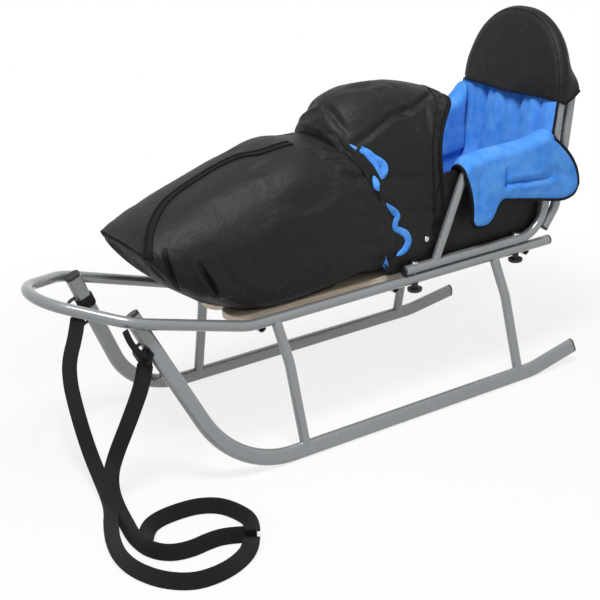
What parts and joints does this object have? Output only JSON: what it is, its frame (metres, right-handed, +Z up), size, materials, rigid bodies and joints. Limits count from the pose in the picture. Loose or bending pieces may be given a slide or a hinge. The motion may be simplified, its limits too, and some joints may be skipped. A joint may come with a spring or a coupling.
{
  "type": "child's tube sled",
  "caption": "Steel tube sled with oval runners, wooden slats, bolted backrest, padded foot muff with hood and side wings, and a webbing tow strap.",
  "frame": {"origin": "middle of the sled's bounding box without the loose strap, on the floor", "axes": "+X forward to the bow, +Y to the sled's left, +Z up"},
  "size_m": [1.0907, 0.632, 0.6517],
  "materials": {
    "frame_steel": "smooth silver grey lacquer over steel tube, glossy",
    "eye_wire": "dark grey coated steel wire",
    "bolt_steel": "zinc plated",
    "black_plastic": "moulded, slight sheen",
    "slat_wood": "planed light softwood with clear lacquer",
    "webbing": "woven webbing",
    "shell_fabric": "black woven nylon with a soft sheen, padded",
    "lining_fleece": "blue fleece"
  },
  "bodies": {
    "root": {"top_loop": "frame_steel", "runner_left": "frame_steel", "runner_right": "frame_steel", "leg_front_left": "frame_steel", "leg_front_right": "frame_steel", "leg_rear_left": "frame_steel", "leg_rear_right": "frame_steel", "cross_tube_front": "frame_steel", "cross_tube_middle": "frame_steel", "cross_tube_rear": "frame_steel", "backrest_hoop": "frame_steel", "push_hoop": "frame_steel", "hoop_spacer_low_left": "frame_steel", "hoop_spacer_low_right": "frame_steel", "hoop_spacer_high_left": "frame_steel", "hoop_spacer_high_right": "frame_steel", "arm_tube_left": "frame_steel", "arm_tube_right": "frame_steel", "tow_eye_left": "eye_wire", "tow_eye_right": "eye_wire", "bolt_front_left": "bolt_steel", "bolt_front_right": "bolt_steel", "bolt_rear_left": "bolt_steel", "bolt_rear_right": "bolt_steel", "runner_plug_left": "black_plastic", "runner_plug_right": "black_plastic", "runner_cap_left": "black_plastic", "runner_cap_right": "black_plastic", "rail_plug_left": "black_plastic", "rail_plug_right": "black_plastic", "hoop_plug_left": "black_plastic", "hoop_plug_right": "black_plastic", "push_plug_left": "black_plastic", "push_plug_right": "black_plastic", "knob_front_left": "black_plastic", "knob_front_right": "black_plastic", "knob_rear_left": "black_plastic", "knob_rear_right": "black_plastic", "slat_left": "slat_wood", "slat_middle": "slat_wood", "slat_right": "slat_wood", "strap_left": "webbing", "strap_right": "webbing", "strap_hand_loop": "webbing", "strap_hitch_left": "webbing", "strap_hitch_right": "webbing", "strap_tab": "webbing", "foot_bag": "shell_fabric", "lap_cover": "shell_fabric", "hood": "shell_fabric", "side_panel_left": "shell_fabric", "side_panel_right": "shell_fabric", "wing_left": "lining_fleece", "wing_right": "lining_fleece", "seat_pad": "lining_fleece", "back_pad": "lining_fleece"}
  },
  "joints": []
}
